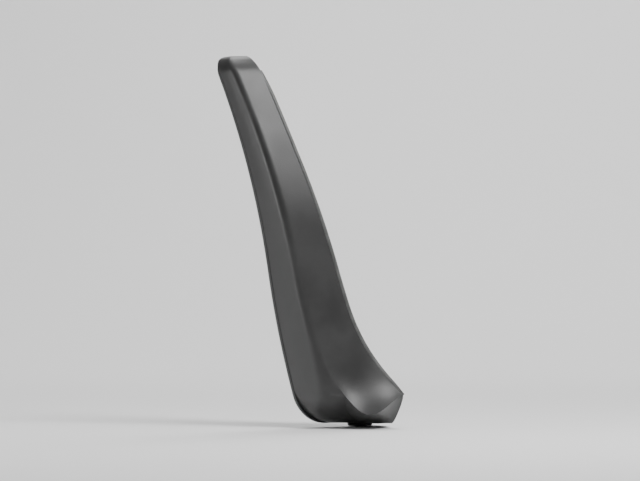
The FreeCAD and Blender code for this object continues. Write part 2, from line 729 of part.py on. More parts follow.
def makeSpringNut():
    """A folded sheet nut that clips over the bottom flange's inboard edge."""
    body = newBody("spring_nut", "spring_nut_sill")
    edge = "Sizes.flange_inboard"
    tip = f"({edge} - Sizes.nut_leaf)"
    bend = f"({edge} + Sizes.nut_sheet)"
    above = f"({PLATE_TOP} + Sizes.nut_sheet)"
    below = "(-Sizes.heel_depth - Sizes.nut_sheet)"
    fold = newSketch(body, "spring_nut_fold", "YZ_Plane", "Sizes.nut_back")
    addLoop(fold, [
        (tip, above), (bend, above), (bend, below), (tip, below),
        (tip, "-Sizes.heel_depth"), (edge, "-Sizes.heel_depth"), (edge, PLATE_TOP), (tip, PLATE_TOP),
    ])
    addPad(body, "spring_nut_sheet", fold, "Sizes.nut_width", symmetric=True)
    middle = f"({edge} - Sizes.nut_setback)"
    collar = newSketch(body, "spring_nut_collar_ring", "XY_Plane", above)
    addCircle(collar, "Sizes.nut_back", middle, "Sizes.nut_collar_radius")
    addPad(body, "spring_nut_collar", collar, "Sizes.nut_collar_height")
    thread = newSketch(body, "spring_nut_thread_ring", "XY_Plane", f"{above} + Sizes.nut_collar_height")
    addCircle(thread, "Sizes.nut_back", middle, "Sizes.nut_thread")
    addPocket(body, "spring_nut_thread", thread, "Sizes.nut_collar_height + 2 * Sizes.nut_sheet")
    wayIn = newSketch(body, "spring_nut_way_in_ring", "XY_Plane", "-Sizes.heel_depth")
    addCircle(wayIn, "Sizes.nut_back", middle, "Sizes.nut_way_in")
    addPocket(body, "spring_nut_way_in", wayIn, "2 * Sizes.nut_sheet")
    return body


# Assembly ---------------------------------------------------------------------------------------

parts = [makeMoulding(), makeEdgeSeal()]
ribEnd = f"({levelLines(level('Sizes.rib_middle_height', False))['edgeY']} - Sizes.rib_inset)"
parts.append(makeFoam("foam_strip_upper", "Sizes.foam_upper_top", "Sizes.foam_upper_bottom",
                      f"({ribEnd} + Sizes.foam_rib_gap + Sizes.foam_width)"))
parts.append(makeFoam("foam_strip_lower", "-Sizes.foam_lower_top", "-Sizes.foam_lower_bottom",
                      "Sizes.foam_lower_inboard"))
for place, station in SCREWS.items():
    parts.append(makeSleeve(f"sleeve_{place}", station))
    parts.append(makeWasher(f"washer_{place}", station))
    parts.append(makeScrew(f"screw_{place}", station))
for place, station in RIVETS.items():
    parts.append(makeRivetBody(f"rivet_body_{place}", station))
    parts.append(makeRivetPin(f"rivet_pin_{place}", station))
parts.append(makeSpringNut())
doc.recompute()

for item in doc.Objects:
    if "Invalid" in item.State or "Error" in item.State:
        raise ValueError(f"{item.Name} failed: {item.State}")
for part in parts:
    if part.Shape.isNull() or not part.Shape.isValid():
        raise ValueError(f"{part.Label} has no valid shape")
    if len(part.Shape.Solids) != 1:
        raise ValueError(f"{part.Label} has {len(part.Shape.Solids)} solids")

os.makedirs("parts", exist_ok=True)
for part in parts:
    part.Shape.exportStep(f"parts/{part.Label}.step")
    box = part.Shape.BoundBox
    size = f"{box.XLength:.1f} x {box.YLength:.1f} x {box.ZLength:.1f}"
    print(f"{part.Label}: {part.Shape.Volume:.0f} mm3, {size}")
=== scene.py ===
import math

import bmesh
import bpy
from mathutils import Matrix, Vector


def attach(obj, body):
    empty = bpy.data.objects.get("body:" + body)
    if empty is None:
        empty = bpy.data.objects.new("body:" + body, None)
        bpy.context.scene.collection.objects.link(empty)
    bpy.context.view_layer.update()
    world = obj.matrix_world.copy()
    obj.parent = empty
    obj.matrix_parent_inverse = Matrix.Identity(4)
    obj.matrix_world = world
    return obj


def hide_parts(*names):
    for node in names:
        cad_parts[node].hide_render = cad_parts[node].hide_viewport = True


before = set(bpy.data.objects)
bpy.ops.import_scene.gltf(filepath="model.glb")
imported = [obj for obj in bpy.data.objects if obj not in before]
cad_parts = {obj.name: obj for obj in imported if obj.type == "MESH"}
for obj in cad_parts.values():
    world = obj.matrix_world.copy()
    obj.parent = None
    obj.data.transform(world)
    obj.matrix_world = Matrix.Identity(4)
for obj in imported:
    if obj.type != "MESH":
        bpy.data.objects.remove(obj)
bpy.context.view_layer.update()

print("frame loaded:", len(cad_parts), "nodes")

mm = 0.001
collection = bpy.context.scene.collection


# Finishes. Every pattern is laid out on the object's own coordinates, in metres.
finishes = {
    "mouldedBlack": {"colour": (0.026, 0.026, 0.026), "roughness": 0.40, "grain": 1500,
                     "grainDepth": 0.00006},
    "sealRubber": {"colour": (0.085, 0.085, 0.084), "roughness": 0.46},
    "foam": {"colour": (0.035, 0.036, 0.040), "roughness": 0.95},
    "blackZinc": {"colour": (0.05, 0.05, 0.053), "roughness": 0.34},
    "brightZinc": {"colour": (0.62, 0.62, 0.60), "roughness": 0.3},
    "nylon": {"colour": (0.022, 0.022, 0.023), "roughness": 0.38},
    "springSteel": {"colour": (0.16, 0.165, 0.16), "roughness": 0.42},
}


class Finish:  # a material and a short way of adding its nodes
    def __init__(self, name):
        self.material = bpy.data.materials.new(name)
        self.material.use_nodes = True
        self.nodes = self.material.node_tree.nodes
        self.shader = self.nodes["Principled BSDF"]
        self.place = self.add("ShaderNodeTexCoord").outputs["Object"]

    def add(self, kind, inputs=None, **settings):
        node = self.nodes.new(kind)
        for key, value in settings.items():
            setattr(node, key, value)
        for key, value in (inputs or {}).items():
            self.set(node.inputs[key], value)
        return node

    def set(self, socket, value):
        if isinstance(value, bpy.types.NodeSocket):
            self.material.node_tree.links.new(value, socket)
        else:
            socket.default_value = value

    def noise(self, scale, detail=3.0, roughness=0.5):
        node = self.add("ShaderNodeTexNoise", {"Vector": self.place, "Scale": scale, "Detail": detail,
                                               "Roughness": roughness})
        return node.outputs["Fac"]

    def cells(self, scale, feature="F1", randomness=1.0):
        node = self.add("ShaderNodeTexVoronoi", {"Vector": self.place, "Scale": scale,
                                                 "Randomness": randomness}, feature=feature)
        return node.outputs["Distance"]

    def remap(self, value, low, high, outLow, outHigh):
        node = self.add("ShaderNodeMapRange", {"Value": value, "From Min": low, "From Max": high,
                                               "To Min": outLow, "To Max": outHigh})
        return node.outputs["Result"]

    def math(self, operation, a, b=0.0):
        node = self.add("ShaderNodeMath", {0: a, 1: b}, operation=operation)
        return node.outputs[0]

    def mix(self, share, a, b):
        node = self.add("ShaderNodeMix", {"Factor": share}, data_type="RGBA")
        self.set(node.inputs[6], a)
        self.set(node.inputs[7], b)
        return node.outputs[2]

    def height(self):  # how high up the object a point is
        return self.add("ShaderNodeSeparateXYZ", {"Vector": self.place}).outputs["Z"]

    def bump(self, pattern, depth, strength=1.0, over=None):
        inputs = {"Height": pattern, "Distance": depth, "Strength": strength}
        if over is not None:
            inputs["Normal"] = over
        return self.add("ShaderNodeBump", inputs).outputs["Normal"]


def shade(colour, factor):
    return tuple(c * factor for c in colour[:3]) + (1.0,)


def makeMouldedBlack():
    values = finishes["mouldedBlack"]
    f = Finish("mouldedBlack")
    colour = values["colour"]
    patches = f.noise(38, 4)
    handled = f.mix(f.remap(patches, 0.42, 0.62, 0, 1), shade(colour, 0.9), shade(colour, 1.12))
    specks = f.remap(f.cells(900), 0.0, 0.16, 1, 0)
    dust = f.math("MULTIPLY", specks, f.remap(f.noise(120, 2), 0.5, 0.62, 0, 0.35))
    low = f.remap(f.height(), -0.06, -0.11, 0, 0.35)
    film = f.math("MULTIPLY", low, f.remap(f.noise(55, 5, 0.6), 0.4, 0.65, 0, 1))
    dusty = f.mix(f.math("MAXIMUM", dust, film), handled, shade(colour, 2.1))
    f.set(f.shader.inputs["Base Color"], dusty)
    rough = f.remap(patches, 0.3, 0.7, values["roughness"] - 0.05, values["roughness"] + 0.06)
    f.set(f.shader.inputs["Roughness"], rough)
    f.shader.inputs["Specular IOR Level"].default_value = 0.5
    leather = f.cells(values["grain"], "SMOOTH_F1")
    pebbles = f.math("ADD", leather, f.math("MULTIPLY", f.noise(values["grain"] * 2.2, 2), 0.35))
    fine = f.bump(pebbles, values["grainDepth"], 0.55)
    f.set(f.shader.inputs["Normal"], f.bump(f.noise(26, 2), 0.0004, 0.25, fine))
    return f.material


def makeSealRubber():
    values = finishes["sealRubber"]
    f = Finish("sealRubber")
    colour = values["colour"]
    f.set(f.shader.inputs["Base Color"],
          f.mix(f.remap(f.noise(150, 3), 0.35, 0.65, 0, 1), shade(colour, 0.85), shade(colour, 1.2)))
    f.set(f.shader.inputs["Roughness"], f.remap(f.noise(300, 2), 0.3, 0.7, values["roughness"] - 0.08,
                                                values["roughness"] + 0.08))
    f.set(f.shader.inputs["Normal"], f.bump(f.noise(2500, 2), 0.00003, 0.5))
    return f.material


def makeFoamFinish():
    values = finishes["foam"]
    f = Finish("foam")
    colour = values["colour"]
    pores = f.cells(1500)
    # the pore centres are painted darker than the walls between them: painted shade inside the pores,
    # following the pore bump
    f.set(f.shader.inputs["Base Color"],
          f.mix(f.remap(pores, 0.1, 0.5, 0, 1), shade(colour, 0.45), shade(colour, 1.5)))
    f.shader.inputs["Roughness"].default_value = values["roughness"]
    open_ = f.bump(pores, 0.00025, 0.9)
    f.set(f.shader.inputs["Normal"], f.bump(f.noise(260, 3), 0.0003, 0.4, open_))
    return f.material


def makeMetal(name, wear):  # plated or bare steel, with fine turning marks and a little wear
    values = finishes[name]
    f = Finish(name)
    colour = values["colour"]
    cloud = f.noise(420, 4, 0.6)
    f.set(f.shader.inputs["Base Color"],
          f.mix(f.remap(cloud, 0.38, 0.66, 0, 1), shade(colour, 0.78), shade(colour, 1 + wear)))
    f.shader.inputs["Metallic"].default_value = 1.0
    f.set(f.shader.inputs["Roughness"], f.remap(cloud, 0.3, 0.7, values["roughness"] + 0.1,
                                                values["roughness"] - 0.08))
    f.set(f.shader.inputs["Normal"], f.bump(f.noise(5200, 2), 0.000012, 0.6))
    return f.material


def makeNylon():
    values = finishes["nylon"]
    f = Finish("nylon")
    colour = values["colour"]
    f.set(f.shader.inputs["Base Color"],
          f.mix(f.remap(f.noise(220, 3), 0.35, 0.65, 0, 1), shade(colour, 0.85), shade(colour, 1.25)))
    f.set(f.shader.inputs["Roughness"], f.remap(f.noise(700, 3), 0.3, 0.7, values["roughness"] - 0.06,
                                                values["roughness"] + 0.1))
    f.set(f.shader.inputs["Normal"], f.bump(f.noise(3200, 2), 0.00002, 0.4))
    return f.material


mouldedBlack = makeMouldedBlack()
sealRubber = makeSealRubber()
foamFinish = makeFoamFinish()
blackZinc = makeMetal("blackZinc", 0.5)
brightZinc = makeMetal("brightZinc", 0.15)
springSteel = makeMetal("springSteel", 0.3)
nylon = makeNylon()
print("finishes made:", len(finishes))


def dress(piece, material, angle=32):
    piece.data.materials.clear()
    piece.data.materials.append(material)
    for polygon in piece.data.polygons:
        polygon.use_smooth = True
        polygon.material_index = 0
    piece.data.set_sharp_from_angle(angle=math.radians(angle))
    return piece

# The guard's own shape, in millimetres. Heights are measured from the middle screw.
guardShape = {
    "archRadius": 380, "sweepRadius": 440, "wall": 3, "seatProud": 0.5,
    "crestHeight": 154, "heelDepth": 109, "crestRound": 13, "heelRound": 24,
    "faceOffset": 31.5, "faceLean": 0.174, "bandWidth": 32, "bandTaper": 0.09, "bandCrown": 1.5,
    "ridgeSize": 5, "rimSize": 20, "beadProud": 0.5,
    "fairingDepth": 28.5, "depthTaper": 0.085, "fairingRun": 8, "runTaper": 0.03,
    "scoopStart": 20, "scoopTip": 88, "scoopDepth": 14, "scoopRun": 11, "scoopPower": 2.5,
    "crestFlare": 3, "crestPull": 7, "heelPull": 26, "heelPower": 1.2,
    "shelfDip": 13.3, "shelfSkew": 1.45, "shelfReach": 11, "shelfStart": 0.72, "edgeSoft": 3,
    "faceCrown": 0.6, "lipStart": 0.85, "lipRound": 2, "easeBelow": -55, "easeRounds": 200,
}
g = guardShape


def clamp(value, low=0.0, high=1.0):
    return max(low, min(high, value))


def quarterRound(radius, share):
    return radius * (1 - math.sqrt(max(0.0, 1 - share * share)))


def seatX(z):  # the seat line: round the arch above the origin, swept back below it
    if z >= 0:
        return math.sqrt(g["archRadius"] ** 2 - z * z) - g["archRadius"]
    return g["sweepRadius"] - math.sqrt(g["sweepRadius"] ** 2 - z * z)


def outboardY(z):
    return -g["faceOffset"] - g["faceLean"] * z


def sectionAt(z):  # what the fairing's horizontal section measures at a height
    crest = clamp((z - g["crestHeight"] + g["crestRound"]) / g["crestRound"])
    heel = clamp((-z - g["heelDepth"] + g["heelRound"]) / g["heelRound"])
    share = clamp((-z - g["scoopStart"]) / (g["scoopTip"] - g["scoopStart"]))
    scoop = share ** g["scoopPower"]
    fall = clamp((-z - g["scoopTip"]) / (g["heelDepth"] - g["scoopTip"]))
    flare = g["crestFlare"] * clamp(2 * z / g["crestHeight"] - 1) ** 2
    front = seatX(z) - g["seatProud"] - g["wall"]
    pull = g["crestPull"] * crest ** 2 + g["heelPull"] * fall ** g["heelPower"]
    ridge = front + g["bandWidth"] - g["bandTaper"] * z - pull
    size = g["ridgeSize"] + (g["rimSize"] - g["ridgeSize"]) * (share ** 4 / 2 + heel ** 2 / 2)
    size *= 1 - 0.6 * crest
    face = outboardY(z) + quarterRound(g["crestRound"], crest) + quarterRound(g["heelRound"], heel)
    run = g["fairingRun"] - g["runTaper"] * z + flare + g["scoopRun"] * scoop
    depth = g["fairingDepth"] - g["depthTaper"] * z + flare + g["scoopDepth"] * scoop
    start = front + 0.3 * g["wall"]
    return {
        "start": start, "face": face, "size": size, "ridge": ridge,
        "bandEnd": max(start + 1, ridge - size), "edgeX": ridge + run,
        "edgeY": outboardY(z) + g["bandCrown"] + depth, "crest": crest, "heel": heel,
    }


def rimZ(w):  # the scooped shelf's front rim dips between the ridge and the tip
    return -g["scoopTip"] - g["shelfDip"] * math.sin(math.pi * (1 - (1 - w) ** g["shelfSkew"]))


columns = {"band": 12, "ridge": 8, "face": 30}
rows = {"crest": 9, "upper": 74, "scoop": 30, "rim": 18, "cap": 5}


# One row of the outer skin at a height. Below the rim, fall is the share of the way down to the heel.
def fairingRow(level, fall):
    s = sectionAt(level)
    points = []
    crown = g["faceCrown"] * (1 - s["crest"]) * (1 - s["heel"])
    for i in range(columns["band"]):
        u = i / columns["band"]
        points.append((s["start"] + (s["bandEnd"] - s["start"]) * u,
                       s["face"] - crown * (1 - (2 * u - 1) ** 2), level))
    endX, endY = s["ridge"] + 0.3 * s["size"], s["face"] + s["size"]
    lean = (s["edgeX"] - endX) / max(1e-6, s["edgeY"] - endY)
    midX = max(s["bandEnd"] + 0.2, endX - s["size"] * lean)
    for i in range(columns["ridge"]):
        u = i / columns["ridge"]
        a, b, c = (1 - u) ** 2, 2 * u * (1 - u), u * u
        points.append((a * s["bandEnd"] + b * midX + c * endX,
                       a * s["face"] + b * s["face"] + c * endY, level))
    long = math.hypot(s["edgeX"] - endX, s["edgeY"] - endY)
    outX, outY = (s["edgeY"] - endY) / long, -(s["edgeX"] - endX) / long
    for i in range(columns["face"] + 1):
        w = i / columns["face"]
        low = rimZ(w)
        if fall is None and level > -g["scoopStart"]:
            z, bulge = level, 0.0
        elif fall is None:
            span = g["scoopTip"] - g["scoopStart"]
            z = -g["scoopStart"] + (low + g["scoopStart"]) * (-level - g["scoopStart"]) / span
            begin = g["shelfStart"] * g["scoopTip"]
            bulge = clamp((-level - begin) / (g["scoopTip"] - begin)) ** 3
        else:
            z = low + (-g["heelDepth"] - low) * fall
            bulge = (1 - fall) ** 1.3
        push = g["shelfReach"] * bulge * math.sin(math.pi * w) ** 1.25
        points.append((endX + (s["edgeX"] - endX) * w + outX * push,
                       endY + (s["edgeY"] - endY) * w + outY * push, z))
    return points, (s["start"], s["edgeY"])


def towards(points, corner, reach, z=None):  # draw a row in towards the section's inner corner
    moved = []
    for x, y, height in points:
        dx, dy = corner[0] - x, corner[1] - y
        away = math.hypot(dx, dy)
        step = min(1.0, reach / away) if away > 1e-6 else 0.0
        moved.append((x + dx * step, y + dy * step, height if z is None else z))
    return moved


def makeFairing():  # the outer skin as a grid of rows, from crest cap to bottom plate
    top, bottom = g["crestHeight"] - 0.15, -g["heelDepth"] + 0.15
    grid = []
    soft = g["edgeSoft"]
    ends, corner = fairingRow(top, None)
    for i in range(rows["cap"]):
        share = i / rows["cap"]
        shrunk = [(corner[0] + (x - corner[0]) * share, corner[1] + (y - corner[1]) * share, top)
                  for x, y, z in towards(ends, corner, soft)]
        grid.append(shrunk)
    for i in range(rows["crest"] + 1):
        angle = i / rows["crest"] * math.pi / 2
        level = top - soft * (1 - math.cos(angle))
        points, corner = fairingRow(level, None)
        grid.append(towards(points, corner, soft * (1 - math.sin(angle))))
    start = top - soft
    join = -g["scoopStart"]
    for i in range(1, rows["upper"] + 1):
        share = (i / rows["upper"]) ** 1.25
        grid.append(fairingRow(start + (join - start) * share, None)[0])
    for i in range(1, rows["scoop"] + 1):
        share = 1 - (1 - i / rows["scoop"]) ** 1.5
        grid.append(fairingRow(join + (-g["scoopTip"] - join) * share, None)[0])
    for i in range(1, rows["rim"] + 1):
        fall = math.sin(i / rows["rim"] * math.pi / 2) ** 1.2
        level = -g["scoopTip"] - (g["heelDepth"] - g["scoopTip"]) * fall
        points, corner = fairingRow(max(level, bottom), fall)
        lip = clamp((fall - g["lipStart"]) / (1 - g["lipStart"]))
        drawn = towards(points, corner, quarterRound(g["lipRound"], lip))
        grid.append([(x, y, max(z, bottom)) for x, y, z in drawn])
    last = grid[-1]
    for i in range(rows["cap"] - 1, -1, -1):
        share = i / rows["cap"]
        grid.append([(corner[0] + (x - corner[0]) * share, corner[1] + (y - corner[1]) * share, bottom)
                     for x, y, z in last])
    return gridMesh("fairing", grid)


def gridMesh(name, grid):
    work = bmesh.new()
    made = [[work.verts.new([c * mm for c in point]) for point in row] for row in grid]
    for upper, lower in zip(made, made[1:]):
        for i in range(len(upper) - 1):
            work.faces.new((upper[i], lower[i], lower[i + 1], upper[i + 1]))
    bmesh.ops.remove_doubles(work, verts=work.verts, dist=0.02 * mm)
    mesh = bpy.data.meshes.new(name)
    work.to_mesh(mesh)
    work.free()
    piece = bpy.data.objects.new(name, mesh)
    collection.objects.link(piece)
    return piece


def applyAll(piece):  # turn a piece and its modifiers into one plain mesh
    bpy.context.view_layer.update()
    graph = bpy.context.evaluated_depsgraph_get()
    mesh = bpy.data.meshes.new_from_object(piece.evaluated_get(graph))
    piece.modifiers.clear()
    piece.data = mesh
    return piece


def thicken(piece, thickness, inwards=True):
    solid = piece.modifiers.new("thickness", "SOLIDIFY")
    solid.thickness = thickness * mm
    solid.offset = -1 if inwards else 1
    solid.use_even_offset = False
    solid.use_quality_normals = True
    return applyAll(piece)


# Ease the hidden skin where it bunches up under the creases; its points start at number count.
def relaxInside(piece, count):
    work = bmesh.new()
    work.from_mesh(piece.data)
    inside = [v for v in work.verts if v.index >= count and v.co.z < g["easeBelow"] * mm
              and all(e.other_vert(v).index >= count for e in v.link_edges)]
    for _ in range(g["easeRounds"]):
        bmesh.ops.smooth_vert(work, verts=inside, factor=0.5,
                              use_axis_x=True, use_axis_y=True, use_axis_z=True)
    work.to_mesh(piece.data)
    work.free()


fairing = makeFairing()
skinCount = len(fairing.data.vertices)
thicken(fairing, g["wall"])
relaxInside(fairing, skinCount)
print("fairing made:", len(fairing.data.vertices), "points")

# The wall behind the tyre: its outline from behind as (y, z, corner radius), and the flange below it.
wallShape = {
    "crestWidth": 33.5, "crestInboardRound": 10, "kneeReach": 18, "kneeDepth": 4, "kneeRound": 40,
    "reach": 58, "toeDepth": 78, "toeRound": 10, "edgeSoft": 0.7,
    "flangeRear": 42, "flangeInboard": 54, "flangeCut": 13.5, "flangeRound": 4,
}


def roundedLoop(corners, steps=10):  # a closed outline with each corner rounded by its own radius
    loop = []
    count = len(corners)
    for i, (x, y, radius) in enumerate(corners):
        here = Vector((x, y))
        before = (Vector(corners[i - 1][:2]) - here).normalized()
        after = (Vector(corners[(i + 1) % count][:2]) - here).normalized()
        half = before.angle(after) / 2
        if radius <= 0 or half > math.radians(89):
            loop.append((x, y))
            continue
        middle = here + (before + after).normalized() * radius / math.sin(half)
        first = here + before * radius / math.tan(half) - middle
        turn = math.pi - 2 * half
        side = 1 if before.cross(after) < 0 else -1
        for k in range(steps + 1):
            angle = side * turn * k / steps
            spot = middle + Matrix.Rotation(angle, 2) @ first
            loop.append((spot.x, spot.y))
    return loop


def wallOutline():
    crest, heel = g["crestHeight"], -g["heelDepth"]
    w = wallShape
    return roundedLoop([
        (outboardY(crest) - g["beadProud"], crest, g["crestRound"]),
        (outboardY(crest) + w["crestWidth"], crest, w["crestInboardRound"]),
        (w["kneeReach"], -w["kneeDepth"], w["kneeRound"]),
        (w["reach"], -w["toeDepth"], w["toeRound"]),
        (w["reach"], heel, w["toeRound"]),
        (outboardY(heel) - g["beadProud"], heel, g["heelRound"]),
    ])


def spanAt(loop, z):  # where a level line enters and leaves an outline
    found = []
    for (y1, z1), (y2, z2) in zip(loop, loop[1:] + loop[:1]):
        if (z1 - z) * (z2 - z) <= 0 and abs(z1 - z2) > 1e-9:
            found.append(y1 + (y2 - y1) * (z - z1) / (z2 - z1))
    return min(found), max(found)


def solidFromGrid(name, near, far):  # a closed slab between two grids of the same size
    work = bmesh.new()
    sides = [[[work.verts.new([c * mm for c in point]) for point in row] for row in grid]
             for grid in (near, far)]
    for side, made in enumerate(sides):
        for upper, lower in zip(made, made[1:]):
            for i in range(len(upper) - 1):
                face = (upper[i], lower[i], lower[i + 1], upper[i + 1])
                work.faces.new(face if side else face[::-1])
    nearRim, farRim = [
        made[0] + [row[-1] for row in made[1:-1]] + made[-1][::-1] + [row[0] for row in made[-2:0:-1]]
        for made in sides
    ]
    for i in range(len(nearRim)):
        k = (i + 1) % len(nearRim)
        work.faces.new((nearRim[i], nearRim[k], farRim[k], farRim[i]))
    bmesh.ops.recalc_face_normals(work, faces=work.faces)
    mesh = bpy.data.meshes.new(name)
    work.to_mesh(mesh)
    work.free()
    piece = bpy.data.objects.new(name, mesh)
    collection.objects.link(piece)
    return piece


def soften(piece, width, segments=3, angle=40):  # round a piece's edges off
    bevel = piece.modifiers.new("soft edges", "BEVEL")
    bevel.width = width * mm
    bevel.segments = segments
    bevel.limit_method = "ANGLE"
    bevel.angle_limit = math.radians(angle)
    bevel.use_clamp_overlap = True
    return applyAll(piece)


def makeWall():
    loop = wallOutline()
    top, bottom = g["crestHeight"] - 0.1, -g["heelDepth"] + 0.1
    heights = []
    for i in range(97):  # closer together near the rounded ends
        share = i / 96
        crowded = share - math.sin(2 * math.pi * share) / (2 * math.pi) * 0.8
        heights.append(bottom + (top - bottom) * crowded)
    front, back = [], []
    for z in heights:
        low, high = spanAt(loop, z)
        across = [low + (high - low) * k / 14 for k in range(15)]
        x = seatX(z) - g["seatProud"]
        back.append([(x, y, z) for y in across])
        front.append([(x - g["wall"], y, z) for y in across])
    return soften(solidFromGrid("wall", front, back), wallShape["edgeSoft"])


def plateFromLoop(name, loop, low, high, soft=0.5):  # a flat plate from an outline in plan
    work = bmesh.new()
    lower = [work.verts.new((x * mm, y * mm, low * mm)) for x, y in loop]
    upper = [work.verts.new((x * mm, y * mm, high * mm)) for x, y in loop]
    work.faces.new(lower[::-1])
    work.faces.new(upper)
    for i in range(len(loop)):
        k = (i + 1) % len(loop)
        work.faces.new((lower[i], lower[k], upper[k], upper[i]))
    bmesh.ops.recalc_face_normals(work, faces=work.faces)
    mesh = bpy.data.meshes.new(name)
    work.to_mesh(mesh)
    work.free()
    piece = bpy.data.objects.new(name, mesh)
    collection.objects.link(piece)
    return soften(piece, soft) if soft else piece


def makeFlange():
    heel = -g["heelDepth"]
    s = sectionAt(heel + 0.001)
    w = wallShape
    front = s["start"]
    loop = roundedLoop([
        (front, s["face"] + 6, 0), (s["ridge"] + 0.3 * s["size"], s["face"] + s["size"] + 1.5, 0),
        (w["flangeRear"], s["edgeY"] - 1.5, 0),
        (w["flangeRear"] - w["flangeCut"], w["flangeInboard"], w["flangeRound"]),
        (front, w["flangeInboard"], 0),
    ])
    return plateFromLoop("flange", loop, heel + 0.1, heel + g["wall"])


# Where the fasteners stand: height on the wall, distance inboard, and how far the axis leans.
def wallStation(z, y):
    radius = g["archRadius"] if z >= 0 else g["sweepRadius"]
    tilt = math.asin(abs(z) / radius)
    return {"spot": Vector((seatX(z), y, z)), "tilt": tilt}


plateTop = -g["heelDepth"] + g["wall"]
screws = {"upper": wallStation(96, -21), "middle": wallStation(0, 0), "lower": wallStation(-64, 16)}
sill = {"back": 19, "inboard": 33.5}  # the bottom flange's rivet stands upright
rivets = {
    "flap": wallStation(-38, 24), "liner": wallStation(-84, 46),
    "sill": {"spot": Vector((sill["back"], sill["inboard"], plateTop + g["seatProud"])),
             "tilt": math.pi / 2},
}


# A solid turned about its own axis from (radius, height) points.
def turned(name, profile, station=None, steps=48):
    work = bmesh.new()
    rings = []
    for radius, height in profile:
        if radius < 1e-6:
            rings.append([work.verts.new((0, 0, height * mm))])
        else:
            rings.append([work.verts.new((radius * mm * math.cos(2 * math.pi * k / steps),
                                          radius * mm * math.sin(2 * math.pi * k / steps), height * mm))
                          for k in range(steps)])
    closed = rings[0][0].co.xy.length > 1e-6
    pairs = list(zip(rings, rings[1:])) + ([(rings[-1], rings[0])] if closed else [])
    for a, b in pairs:
        for k in range(steps):
            n = (k + 1) % steps
            if len(a) == 1 and len(b) > 1:
                work.faces.new((a[0], b[k], b[n]))
            elif len(b) == 1 and len(a) > 1:
                work.faces.new((a[k], a[n], b[0]))
            elif len(a) > 1:
                work.faces.new((a[k], a[n], b[n], b[k]))
    bmesh.ops.recalc_face_normals(work, faces=work.faces)
    if station:
        bmesh.ops.transform(work, matrix=standing(station), verts=work.verts)
    mesh = bpy.data.meshes.new(name)
    work.to_mesh(mesh)
    work.free()
    piece = bpy.data.objects.new(name, mesh)
    collection.objects.link(piece)
    return piece


def standing(station):  # from a part's own upright axis to its station
    turn = Matrix.Rotation(math.pi / 2 - station["tilt"], 4, "Y")
    return Matrix.Translation(station["spot"] * mm) @ turn


def joined(name, pieces):  # several pieces as one mesh
    work = bmesh.new()
    for piece in pieces:
        work.from_mesh(piece.data)
    mesh = bpy.data.meshes.new(name)
    work.to_mesh(mesh)
    work.free()
    for piece in pieces:
        bpy.data.objects.remove(piece)
    result = bpy.data.objects.new(name, mesh)
    collection.objects.link(result)
    return result


def boolean(piece, tool, operation):
    change = piece.modifiers.new(operation.lower(), "BOOLEAN")
    change.operation = operation
    change.object = tool
    change.solver = "EXACT"
    change.use_self = False
    applyAll(piece)
    bpy.data.objects.remove(tool)
    return piece


fixings = {
    "bossRadius": 11, "bossHeight": 1.5, "sleeveRadius": 4.3, "sleeveBore": 2.7,
    "landRadius": 9, "rivetHole": 4.1, "nutBack": 21, "nutSetback": 5.5, "nutWayIn": 2.8,
}
nutInboard = wallShape["flangeInboard"] - fixings["nutSetback"]
clampDepth = g["seatProud"] + g["wall"] + fixings["bossHeight"]
gripDepth = 2 * g["seatProud"] + g["wall"]


def makeBosses():
    raised, holes = [], []
    for station in screws.values():
        r, d = fixings["bossRadius"], clampDepth
        raised.append(turned("boss", [
            (0, -d), (r - 1.2, -d), (r - 0.8, -d + 0.15), (r - 0.5, -d + 0.6), (r, -d + 1.6),
            (r, -0.35), (r - 0.35, 0), (0, 0)], station, 64))
        holes.append(turned("hole", [(0, -2 * d), (fixings["sleeveRadius"], -2 * d),
                                     (fixings["sleeveRadius"], d), (0, d)], station, 64))
    for station in rivets.values():
        r, d = fixings["landRadius"], gripDepth
        raised.append(turned("land", [
            (0, -d), (r - 0.3, -d), (r, -d + 0.3), (r, -0.3), (r - 0.3, 0), (0, 0)], station, 64))
        holes.append(turned("hole", [(0, -2 * d), (fixings["rivetHole"], -2 * d),
                                     (fixings["rivetHole"], d), (0, d)], station, 64))
    nut = {"spot": Vector((fixings["nutBack"], nutInboard, plateTop)), "tilt": math.pi / 2}
    r, deep, high = fixings["nutWayIn"], -2 * g["wall"], g["wall"]
    holes.append(turned("hole", [(0, deep), (r, deep), (r, high), (0, high)], nut, 48))
    return joined("raised", raised), joined("holes", holes)


class Tree:  # a Geometry Nodes tree and a short way of adding its nodes
    def __init__(self, name, inputs):
        self.tree = bpy.data.node_groups.new(name, "GeometryNodeTree")
        face = self.tree.interface
        face.new_socket(name="Geometry", in_out="INPUT", socket_type="NodeSocketGeometry")
        for label, (kind, value) in inputs.items():
            socket = face.new_socket(name=label, in_out="INPUT", socket_type="NodeSocket" + kind)
            if value is not None:
                socket.default_value = value
        face.new_socket(name="Material", in_out="INPUT", socket_type="NodeSocketMaterial")
        face.new_socket(name="Geometry", in_out="OUTPUT", socket_type="NodeSocketGeometry")
        self.given = self.tree.nodes.new("NodeGroupInput").outputs

    def add(self, kind, inputs=None, out=0, **settings):
        node = self.tree.nodes.new("GeometryNode" + kind)
        for key, value in settings.items():
            setattr(node, key, value)
        for key, value in (inputs or {}).items():
            if isinstance(value, bpy.types.NodeSocket):
                self.tree.links.new(value, node.inputs[key])
            else:
                node.inputs[key].default_value = value
        return node.outputs[out]

    def finish(self, geometry):
        real = self.add("RealizeInstances", {"Geometry": geometry})
        painted = self.add("SetMaterial", {"Geometry": real, "Material": self.given["Material"]})
        self.tree.links.new(painted, self.tree.nodes.new("NodeGroupOutput").inputs["Geometry"])
        return self.tree


